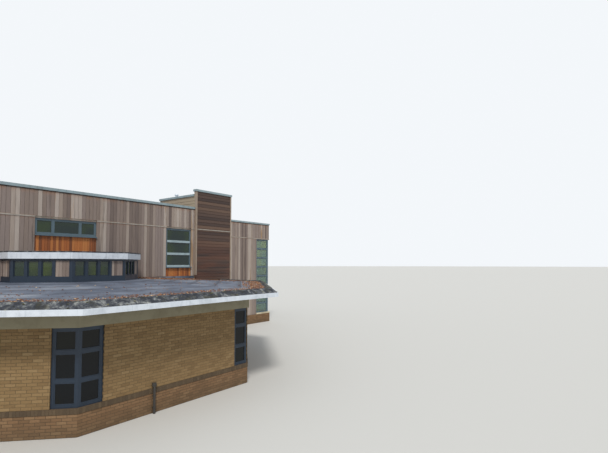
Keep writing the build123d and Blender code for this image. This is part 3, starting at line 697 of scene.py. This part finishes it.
def copy_of(node):
    """A solid's mesh as a closed one, to cut with or to build on."""
    twin = another(nodes[node])
    for key in [key for key in twin.keys() if key.startswith("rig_")]:
        del twin[key]
    twin.parent = None
    twin.data.materials.clear()
    open_up(twin)
    bpy.ops.mesh.remove_doubles(threshold=0.0001)
    done()
    return twin


def trim(piece, mould):
    """Keep only what lies inside a mould, which is then thrown away."""
    modify(piece, "BOOLEAN", operation="INTERSECT", solver="EXACT", object=mould)
    bpy.data.objects.remove(mould)


def cut(piece, point, away, close=True):
    """Cut a piece along a plane, and close it. What lies on the side of `away` goes."""
    open_up(piece)
    bpy.ops.mesh.bisect(plane_co=point, plane_no=away, use_fill=close, clear_outer=True)
    done()


def give_tone(piece, which):
    """Each board, brick or leaf takes one number between 0 and 1, kept on its faces."""
    tones = {}
    layer = piece.data.attributes.new("tone", "FLOAT", "FACE")
    values = [tones.setdefault(which(face), draw.random()) for face in piece.data.polygons]
    layer.data.foreach_set("value", values)
    print(piece.name, "has", len(tones), "tones")


def settle(piece, slot, finish=None, *replaced):
    """Dress a finished piece, say which body it rides on, and hide the solids that it stands for."""
    dress(piece, finish or slot)
    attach(piece, "root")
    if replaced:
        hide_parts(*replaced)
    print(piece.name, len(piece.data.polygons), "faces")


# %% [markdown]
# The boards are tongued and face-fixed: the tongues meet, and the faces stop short of each
# other, so a dark slot runs between them. One board is a block whose face is inset, pushed
# out and softened. A row of it is trimmed by the wall's own solid, which already knows
# where the windows, corners and flashings are. That way no board is measured twice.

# %% One board
board_slot = 0.007
board_ease = 0.0025
tongue_share = 0.55
hairline = 0.0003
fit = 0.0006


def board(width, thick, length):
    """A board that stands at the origin, with its face to the front."""
    tongue = thick * tongue_share
    piece = cube((width - hairline, tongue, length), (0, -tongue, 0))
    pick(piece, looks(0, -1, 0))
    bpy.ops.mesh.inset(thickness=board_slot / 2)
    pull(0, tongue - thick, 0)
    bpy.ops.mesh.bevel(offset=board_ease, segments=1)
    done()
    return piece


# %% Board the walls
board_width = 0.140
cladding_thick = 0.060
panel_board_width = 0.095
panel_thick = 0.030
first_share = 0.4
spare = 0.01
turns = {"front": 0, "right": math.pi / 2, "back": math.pi, "left": -math.pi / 2}


def board_up(name, node, sides, width, thick, slot):
    """Upright boards on some sides of a node, from the left end of each, trimmed to its shape."""
    low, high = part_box(node)
    deep = thick - fit
    starts = {"front": (low.x, low.y + deep), "right": (high.x - deep, low.y),
              "back": (high.x, high.y - deep), "left": (low.x + deep, high.y)}
    rows = []
    for side in sides:
        run = high.x - low.x if side in ("front", "back") else high.y - low.y
        piece = board(width, thick - 2 * fit, high.z - low.z + 2 * spare)
        row(piece, (width, 0, 0), math.ceil(run / width) + 1)
        back = Matrix.Rotation(turns[side], 3, "Z") @ Vector((-width * first_share, 0, -spare))
        put(piece, Vector((*starts[side], low.z)) + back, turns[side])
        rows.append(piece)
    boards = joined(rows, name)
    trim(boards, copy_of(node))

    def which(face):
        on_end = abs(face.center.x) > high.x - thick - 0.001 and "right" in sides
        along = face.center.y - low.y if on_end else face.center.x - low.x
        return (on_end, face.center.x > 0, math.floor((along + width * first_share) / width))

    give_tone(boards, which)
    settle(boards, slot, None, node)


walls = {
    "front_boards": ("front_cladding", ["front"]), "wing_boards": ("wing_cladding", ["front"]),
    "back_boards": ("back_cladding", ["back"]), "end_boards": ("end_cladding", ["left", "right"]),
    "return_boards": ("return_cladding", ["left", "right"]),
}
for name, (node, sides) in walls.items():
    board_up(name, node, sides, board_width, cladding_thick, "cedar_boards")
board_up("panel_boards", "window_panels", ["front"], panel_board_width, panel_thick, "panel_boards")

# %% [markdown]
# The towers wear the same board laid level, and it runs round the corners. A slab as wide
# as the tower does that in one go: its rim is inset above, so that each slab meets the next
# on a tongue, and the tower's own shell trims the stack to a skin.

# %% Board the towers
tower_board_width = 0.150
tower_slot = 0.012
tower_rim = 0.022

low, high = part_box("tower_cladding")
inner_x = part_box("front_cladding")[1].x
stacks = []
for side in (-1, 1):
    near, far = sorted((side * inner_x, side * high.x))
    size = (far - near - 2 * fit, high.y - low.y - 2 * fit, tower_board_width - tower_slot)
    slab = cube(size, (near + fit, low.y + fit, low.z))
    pick(slab, looks(0, 0, 1))
    bpy.ops.mesh.inset(thickness=tower_rim)
    pull(0, 0, tower_slot - hairline)
    done()
    ease(slab, board_ease)
    row(slab, (0, 0, tower_board_width), math.ceil((high.z - low.z) / tower_board_width) + 1)
    stacks.append(slab)
boards = joined(stacks, "tower_boards")
trim(boards, copy_of("tower_cladding"))
side_from = low.y + cladding_thick + 0.01
give_tone(boards, lambda face: (face.center.x > 0, face.center.y > side_from,
                                math.floor((face.center.z - low.z) / tower_board_width)))
settle(boards, "dark_boards", None, "tower_cladding")

# %% [markdown]
# The lantern is eight-sided, so its boarded panels stand at turns of 45 degrees round the
# middle of the pavilion. The same board and the same trim do for them.

# %% Board the lantern
half_turn = math.radians(22.5)
front_turns = [math.radians(turn) for turn in (-90, -45, 0, 45, 90)]
lantern_board_width = 0.105

low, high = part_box("lantern_panels")
lantern_reach = high.x
count = math.ceil(2 * lantern_reach * math.tan(half_turn) / lantern_board_width)
rows = []
for turn in front_turns:
    piece = board(lantern_board_width, panel_thick - 2 * fit, high.z - low.z + 2 * spare)
    row(piece, (lantern_board_width, 0, 0), count)
    put(piece, (-count * lantern_board_width / 2, -lantern_reach + panel_thick - fit, low.z - spare))
    put(piece, (0, pavilion_middle, 0), turn)
    rows.append(piece)
boards = joined(rows, "lantern_boards")
trim(boards, copy_of("lantern_panels"))


def which_board(face):
    """The boards are told apart by their angle round the lantern."""
    angle = math.atan2(face.center.x, pavilion_middle - face.center.y)
    return round(angle * lantern_reach / lantern_board_width)


give_tone(boards, which_board)
settle(boards, "cedar_boards", None, "lantern_panels")

# %% [markdown]
# Bricks are 215 by 65 millimetres with a 10 millimetre joint, in stretcher bond: each
# course starts half a brick along. Two courses are laid, and the pair is repeated upwards.
# The bricks stand proud of the wall's solid, which shows between them as mortar. At the
# corners of the octagon each row is cut to the mitre, as a bricklayer cuts a squint.

# %% One pair of courses
brick_long = 0.215
brick_joint = 0.010
brick_proud = 0.005
brick_deep = 0.038
brick_ease = 0.003


def brick_stock(long, course):
    """One brick at the origin, its face to the front, with softened arrises."""
    piece = cube((long, brick_deep + brick_proud, course - brick_joint), (0, -brick_proud, 0))
    pick(piece, looks(0, -1, 0))
    bpy.ops.mesh.bevel(offset=brick_ease, segments=1)
    done()
    return piece


def brick_run(start, end, low, high, rows, long, cuts):
    """Bricks on one stretch of wall. The wall is on the left, seen along the run."""
    along = (end - start).normalized()
    course = (high - low) / rows
    step = long + brick_joint
    bricks = brick_stock(long, course)
    faces = len(bricks.data.polygons)
    row(bricks, (step, 0, 0), math.ceil((end - start).length / step) + 3)
    if rows > 1:
        upper = another(bricks)
        put(upper, (step / 2, 0, course))
        bricks = joined([bricks, upper], "courses")
        row(bricks, (0, 0, 2 * course), math.ceil(rows / 2))
    give_tone(bricks, lambda face: face.index // faces)
    put(bricks, (start.x, start.y, low + brick_joint / 2), math.atan2(along.y, along.x))
    put(bricks, -along.to_3d() * 1.5 * step)
    for point, away in cuts:
        cut(bricks, point, away)
    if rows > 1 and rows % 2:
        cut(bricks, (0, 0, high), (0, 0, 1))
    return bricks


# %% Lay the pavilion's bricks
window_leaf = 0.600
soldier_width = 0.065


def lay_octagon(name, node, rows, long, leave, slot):
    """Each side of the octagon in front of the main wall, less what windows take at its ends."""
    low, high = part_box(node)
    half = high.x * math.tan(half_turn)
    middle = Vector((0, pavilion_middle))
    sides = []
    for turn in front_turns:
        spin = Matrix.Rotation(turn, 2)
        ends = [spin @ Vector((x, -high.x)) + middle for x in (leave - half, half - leave)]
        along = (ends[1] - ends[0]).normalized()
        cuts = []
        for end, way, mitre in ((ends[0], -along, -half_turn), (ends[1], along, half_turn)):
            point = end + way * brick_proud * 0.8 if leave else end
            face = way if leave else Matrix.Rotation(mitre, 2) @ way
            cuts.append((point.to_3d(), face.to_3d()))
        cuts.append(((0, main_front, 0), (0, 1, 0)))
        for end in ends:
            end.y = min(end.y, main_front + 0.3)
        sides.append(brick_run(*ends, low.z, high.z, rows, long, cuts))
    settle(joined(sides, name), slot)


lay_octagon("pavilion_bricks", "pavilion_walls", 24, brick_long, window_leaf, "buff_brick")
lay_octagon("pavilion_plinth_bricks", "pavilion_plinth", 7, brick_long, 0, "plinth_brick")
lay_octagon("pavilion_sill_bricks", "pavilion_sill_band", 1, soldier_width, 0, "sill_brick")

# %% Lay the main plinth
plinth_rows = 8
plinth_proud = 0.040
corner_lap = 0.004

low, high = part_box("main_plinth")
wing_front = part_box("wing_cladding")[0].y - plinth_proud
tower_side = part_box("tower_cladding")[1].x + plinth_proud
pavilion_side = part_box("pavilion_plinth")[1].x
door_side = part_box("entrance_frame")[1].x
corners = [(pavilion_side, low.y), (tower_side, low.y), (tower_side, wing_front),
           (high.x, wing_front), (high.x, high.y), (door_side, high.y)]
stretches = []
for ends in zip(corners, corners[1:]):
    for side in (1, -1):
        start, end = [Vector((side * x, y)) for x, y in ends][::side]
        along = (end - start).normalized()
        cuts = [((start - along * corner_lap).to_3d(), -along.to_3d()),
                ((end + along * corner_lap).to_3d(), along.to_3d())]
        stretches.append(brick_run(start, end, low.z, high.z, plinth_rows, brick_long, cuts))
settle(joined(stretches, "main_plinth_bricks"), "plinth_brick")

# %% [markdown]
# The roof felt is laid from the eaves upwards, and each width laps over the one below. On
# an eight-sided roof each width is a ring of the pyramid, so it is a cone with eight
# sides, cut along the main wall. Each ring stands a felt's thickness off the one below.

# %% Lay the felt
felt_lift = 0.005
ring_lap = 0.02
gutter_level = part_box("pavilion_kerb")[1].z - 0.060
roof_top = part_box("lantern_frames")[0].z
lantern_side = felt_outer - ring_count * felt_width
roof_slope = (roof_top - gutter_level) / (felt_outer - lantern_side)


def ring_over_roof(outer, inner, lift, ends="NGON"):
    """An eight-sided ring over the sloping felt, between two distances from the middle."""
    foot, head = [gutter_level + (felt_outer - reach) * roof_slope + lift for reach in (outer, inner)]
    corner = 1 / math.cos(half_turn)
    return primitive(bpy.ops.mesh.primitive_cone_add, vertices=8, radius1=outer * corner,
                     radius2=inner * corner, depth=head - foot, end_fill_type=ends,
                     location=(0, pavilion_middle, (foot + head) / 2), rotation=(0, 0, half_turn))


rings = []
for number in range(ring_count):
    near, far = [felt_outer - felt_width * (number + k) for k in (0, 1 + ring_lap)]
    ring = ring_over_roof(near, far, felt_lift)
    pick(ring, looks(0, 0, -1))
    pull(0, 0, -felt_lift - 0.004)
    done()
    cut(ring, (0, main_front, 0), (0, 1, 0))
    rings.append(ring)
settle(joined(rings, "pavilion_felt"), "roof_felt", "ringed_felt")

# %% [markdown]
# Every opening light has its own slim sash inside the fixed frame, and a black rubber line
# between the sash and the pane. The glass solids say where each pane is. A copy of them is
# stripped down to the faces that look out, each face is inset one by one, and the middle is
# deleted. What is left is a rim for every window at once, and Solidify makes it a bar.

# %% Sashes and rubber
sash_width = 0.026
sash_thick = 0.019
rubber_width = 0.006
rubber_thick = 0.005
smallest_pane = 0.05


def pane_rims(name, node, middle, set_in, width, thick, slot, finish=None):
    """A rim on every pane of a glass node: it starts `set_in` from the edge, on the outside."""
    piece = copy_of(node)
    open_up(piece)
    bpy.ops.mesh.dissolve_limited(angle_limit=0.01)
    done()

    def inner(face):
        out = face.normal.x * (face.center.x - middle[0]) + face.normal.y * (face.center.y - middle[1])
        return face.area < smallest_pane or abs(face.normal.z) > 0.5 or out < 0

    pick(piece, inner)
    bpy.ops.mesh.delete(type="FACE")
    bpy.ops.mesh.select_all(action="SELECT")
    if set_in:
        bpy.ops.mesh.inset(thickness=set_in, use_individual=True)
        bpy.ops.mesh.select_all(action="INVERT")
        bpy.ops.mesh.delete(type="FACE")
        bpy.ops.mesh.select_all(action="SELECT")
    bpy.ops.mesh.inset(thickness=width, use_individual=True)
    bpy.ops.mesh.delete(type="FACE")
    done()
    piece.name = name
    modify(piece, "SOLIDIFY", thickness=thick, offset=1)
    ease(piece, min(0.002, thick / 4))
    settle(piece, slot, finish)


block_windows = ("front_window", "rear_window", "end_window", "corner_glazing", "entrance")
glazed = {
    "window_frames": ((0, 5), block_windows),
    "dark_frames": ((0, pavilion_middle), ("pavilion_window", "lantern")),
}
for slot, (middle, windows) in glazed.items():
    for name in windows:
        glass_node = name + "_glass"
        pane_rims(name + "_sashes", glass_node, middle, 0, sash_width, sash_thick, slot)
        pane_rims(name + "_rubbers", glass_node, middle, sash_width, rubber_width, rubber_thick,
                  slot, "rubber")

# %% [markdown]
# The cross bars of the tall windows get pale caps. Their pale colour is a painted highlight: the
# cross bars look lit from above while the upright bars stay dark. The caps sit where the panes stop,
# so their places are read off the panes: each loose part of a glass solid is one pane. The outer
# edge of a cap is narrower than its back, so that rain runs off.

# %% Caps on the cross bars
cross_bar = 0.060
cap_reach = 0.022
cap_stand = 0.023
cap_gap = 0.002
narrowest_capped = 1.0


def pane_boxes(node):
    """The lowest and highest corner of each pane of a glass node."""
    open_up(copy_of(node))
    bpy.ops.mesh.separate(type="LOOSE")
    done()
    boxes = []
    for pane in list(bpy.context.selected_objects):
        corners = [vertex.co for vertex in pane.data.vertices]
        boxes.append([Vector(kind(corner[i] for corner in corners) for i in range(3))
                      for kind in (min, max)])
        bpy.data.objects.remove(pane)
    return boxes


caps = []
for low, high in pane_boxes("front_window_glass"):
    if high.x - low.x < narrowest_capped:
        continue
    size = (high.x - low.x - 2 * cap_gap, cap_reach, cross_bar + 2 * sash_width)
    cap = cube(size, (low.x + cap_gap, low.y - cap_stand - cap_reach, low.z - cross_bar - sash_width))
    pick(cap, looks(0, -1, 0))
    bpy.ops.transform.resize(value=(1, 1, 0.84), orient_type="GLOBAL")
    done()
    caps.append(cap)
caps = joined(caps, "cross_bar_caps")
ease(caps, 0.001)
# The caps' pale colour is a painted highlight on the cross bars.
settle(caps, "window_frames", "pale_bars")

# %% [markdown]
# A coping comes in three-metre lengths. Each joint is covered by a strap folded over the
# metal. The strap is a slice of the coping itself, swollen by two millimetres.

# %% Straps over the joints
strap = 0.06
slice_reach = 0.6
slice_foot = 6.5
slice_high = 0.4


def straps(name, node, slices, proud, slot, finish=None):
    """Slices of a node's solid, swollen a little, where the given blocks cross it."""
    piece = copy_of(node)
    modify(piece, "DISPLACE", strength=proud, mid_level=0)
    trim(piece, joined([cube(size, low) for size, low in slices], "slices"))
    piece.name = name
    settle(piece, slot, finish)


on_fronts = [(x, 0.3) for x in (-10.2, -13, 10.2, 13)] + [(x, -2.6) for x in (-4.5, -1.5, 1.5, 4.5)]
on_back = [(3 * number, 9.4) for number in range(-4, 5)]
on_ends = [(side * 14.4, y) for side in (-1, 1) for y in (2.4, 5.4, 8.4)]
slices = [((strap, slice_reach, slice_high), (x - strap / 2, y, slice_foot))
          for x, y in on_fronts + on_back]
slices += [((slice_reach, strap, slice_high), (x - slice_reach / 2, y, slice_foot))
           for x, y in on_ends]
straps("coping_straps", "parapet_coping", slices, 0.002, "coping")

low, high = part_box("lantern_fascia")
top_edge = ((6, 6, 0.045), (-3, low.y - 0.5, high.z - 0.040))
straps("lantern_drip_edge", "lantern_fascia", [top_edge], 0.003, "white_trim", "kerb_felt")

# %% [markdown]
# The flat roof of the main block has one-metre widths of felt, laid from the front to the
# back. Each width is a thin sheet whose front edge laps the last by a tenth. A copy of the
# deck, lifted by a few millimetres, trims them round the two towers.

# %% Felt the main roof
sheet_width = 1.0
sheet_lap = 0.1
sheet_thick = 0.004

low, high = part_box("main_roof_deck")
sheets = cube((high.x - low.x, sheet_width + sheet_lap, sheet_thick), (low.x, low.y, high.z - 0.0005))
pick(sheets, looks(0, -1, 0))
bpy.ops.transform.translate(value=(0, 0, sheet_thick * 0.8))
done()
row(sheets, (0, sheet_width, 0), math.ceil((high.y - low.y) / sheet_width))
mould = copy_of("main_roof_deck")
put(mould, (0, 0, 3 * sheet_thick))
trim(sheets, mould)
sheets.name = "main_felt"
give_tone(sheets, lambda face: math.floor((face.center.y - low.y) / sheet_width))
settle(sheets, "roof_felt")

# %% [markdown]
# The pair of doors at the back has an upright bar handle on each leaf and a ribbed metal
# threshold between the posts.

# %% Door furniture
handle_low, handle_high = 0.85, 1.35
handle_stand = 0.045
door_low, door_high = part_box("entrance_frame")
leaf_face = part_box("entrance_leaves")[1].y

handles = []
for side in (-1, 1):
    x = side * 0.055
    bar = primitive(bpy.ops.mesh.primitive_cylinder_add, vertices=16, radius=0.012,
                    depth=handle_high - handle_low,
                    location=(x, leaf_face + handle_stand, (handle_low + handle_high) / 2))
    ease(bar, 0.003, 2)
    handles.append(bar)
    for level in (handle_low + 0.06, handle_high - 0.06):
        handles.append(primitive(bpy.ops.mesh.primitive_cylinder_add, vertices=12, radius=0.008,
                                 depth=handle_stand, rotation=(math.pi / 2, 0, 0),
                                 location=(x, leaf_face + handle_stand / 2, level)))
settle(joined(handles, "door_handles"), "window_frames", "pale_bars")
rib_size = (door_high.x - door_low.x - 0.14, 0.006, 0.004)
ribs = cube(rib_size, (door_low.x + 0.07, leaf_face + 0.008, 0.150))
row(ribs, (0, 0.012, 0), 4)
ribs.name = "threshold_ribs"
settle(ribs, "window_frames", "pale_bars")

# %% [markdown]
# One grey pipe comes out of the ground on the pavilion's front side, runs up the plinth in
# two clips and ends in a rounded head just above the dark band.

# %% The service pipe
pipe_x = -0.80
pipe_top = 0.72
pipe_radius = 0.034
clip_levels = (0.16, 0.46)

plinth_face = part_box("pavilion_plinth")[0].y - brick_proud
pipe_y = plinth_face - pipe_radius - 0.022
pipe = primitive(bpy.ops.mesh.primitive_cylinder_add, vertices=20, radius=pipe_radius,
                 depth=pipe_top, location=(pipe_x, pipe_y, pipe_top / 2))
head = cube((0.11, 0.06, 0.10), (pipe_x - 0.055, pipe_y - 0.02, pipe_top - 0.02))
ease(head, 0.012, 2)
pieces = [pipe, head]
for level in clip_levels:
    clip = primitive(bpy.ops.mesh.primitive_torus_add, (1, 1, 2.2), major_radius=pipe_radius + 0.003,
                     minor_radius=0.006, major_segments=20, minor_segments=8,
                     location=(pipe_x, pipe_y, level))
    pieces += [clip, cube((0.05, 0.03, 0.02), (pipe_x - 0.025, plinth_face - 0.028, level - 0.01))]
settle(joined(pieces, "service_pipe"), "dark_frames", "iron")

# %% [markdown]
# Dead leaves blow over the roof and stay where the wind drops them: in the gutter behind
# the kerb, against the foot of the boards, and thinly everywhere. One leaf is modelled, and
# Geometry Nodes strews copies of it over a band of the roof. The seed keeps each run alike.

# %% One leaf and one moss cushion
leaf_curl = 0.014
one_leaf = primitive(bpy.ops.mesh.primitive_cone_add, (0.062, 0.036, 1), vertices=5, radius1=0.5,
                     radius2=0, depth=leaf_curl, location=(0, 0, leaf_curl / 2))
leaf_faces = len(one_leaf.data.polygons)
one_cushion = primitive(bpy.ops.mesh.primitive_ico_sphere_add, (0.07, 0.05, 0.022),
                        subdivisions=2, radius=0.5)
cushion_faces = len(one_cushion.data.polygons)
print("a leaf has", leaf_faces, "faces and a cushion", cushion_faces)

# %% Strew them
def strew(surface, scattered, density, seed, low=0.6, high=1.3):
    """Turn a surface into copies of one object that lie on it, turned and sized at random."""
    group = bpy.data.node_groups.new("strewing", "GeometryNodeTree")
    for way in ("INPUT", "OUTPUT"):
        group.interface.new_socket("Geometry", in_out=way, socket_type="NodeSocketGeometry")

    given = add_node(group, "NodeGroupInput", {})
    points = add_node(group, "GeometryNodeDistributePointsOnFaces",
                      {"Mesh": given[0], "Density": density, "Seed": seed})
    thing = add_node(group, "GeometryNodeObjectInfo", {"Object": scattered})
    tilts = {0: (-0.25, -0.25, 0), 1: (0.25, 0.25, 2 * math.pi), "Seed": seed}
    turn = add_node(group, "FunctionNodeRandomValue", tilts, data_type="FLOAT_VECTOR")
    size = add_node(group, "FunctionNodeRandomValue", {2: low, 3: high, "Seed": seed + 1})
    copies = add_node(group, "GeometryNodeInstanceOnPoints",
                      {"Points": points["Points"], "Instance": thing["Geometry"],
                       "Rotation": turn[0], "Scale": size[1]})
    real = add_node(group, "GeometryNodeRealizeInstances", {0: copies[0]})
    add_node(group, "NodeGroupOutput", {0: real[0]})
    modify(surface, "NODES", node_group=group)
    return surface


# %% Where the leaves lie
leaf_lift = 0.012
foot = main_front - 0.02
drift = ((0.32, 0.012), (0.24, 0.026), (0.17, 0.040), (0.11, 0.053), (0.06, 0.064))
beside_lantern = 2.7
tower_start = 5.75
eaves_end = 6.85


def felt_band(outer, inner, lift, *cuts):
    """A ring over the sloping felt, open at both ends and trimmed by planes."""
    band = ring_over_roof(outer, inner, lift, "NOTHING")
    for point, away in cuts:
        cut(band, point, away, False)
    return band


def patch(low_x, high_x, low_y, high_y, lift=leaf_lift):
    """An oblong over the sloping felt, such as the strip at the foot of a wall."""
    sides = (((low_x, 0, 0), (-1, 0, 0)), ((high_x, 0, 0), (1, 0, 0)),
             ((0, low_y, 0), (0, -1, 0)), ((0, high_y, 0), (0, 1, 0)))
    return felt_band(felt_outer, lantern_side, lift, *sides)


bands = []
for outer, inner, density in ((0.02, 0.52, 250), (0.45, 0.80, 90), (0.75, 4.15, 5)):
    band = felt_band(felt_outer - outer, felt_outer - inner, leaf_lift, ((0, foot, 0), (0, 1, 0)))
    bands.append((band, density))
for side in (1, -1):
    near, far = sorted((side * beside_lantern, side * tower_start))
    bands += [(patch(near, far, foot - deep, foot, lift), 380) for deep, lift in drift]
    bands.append((patch(near, far, foot - 0.85, foot - 0.30), 90))
    near, far = sorted((side * tower_start, side * eaves_end))
    bands.append((patch(near, far, foot - 1.15, foot - 0.12), 70))
strewn = [strew(band, one_leaf, density, 11 + number) for number, (band, density) in enumerate(bands)]
litter = joined(strewn, "roof_leaves")
give_tone(litter, lambda face: face.index // leaf_faces)
settle(litter, "roof_felt", "leaves")
bpy.data.objects.remove(one_leaf)

# %% [markdown]
# Moss grows in cushions on what faces the sky. A copy of the kerb loses the faces that
# don't, and the same nodes strew cushions over the rest.

# %% Moss on the kerb
mossy = copy_of("pavilion_kerb")
pick(mossy, lambda face: face.normal.z < 0.35)
bpy.ops.mesh.delete(type="FACE")
done()
strew(mossy, one_cushion, 26, 21, 0.25, 1.1)
mossy.name = "kerb_moss"
give_tone(mossy, lambda face: face.index // cushion_faces)
settle(mossy, "kerb_felt", "moss")
bpy.data.objects.remove(one_cushion)

# %% [markdown]
# The box of the dressed building is worked out and printed, next to the box of the exact one.

# %% Work out both boxes and finish
bounds_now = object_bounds()


def plain(box):
    return [[round(value, 5) for value in corner] for corner in box]


{"cad": plain(cad_box), "visual": plain(bounds_now)}
print("visual box", plain(bounds_now))
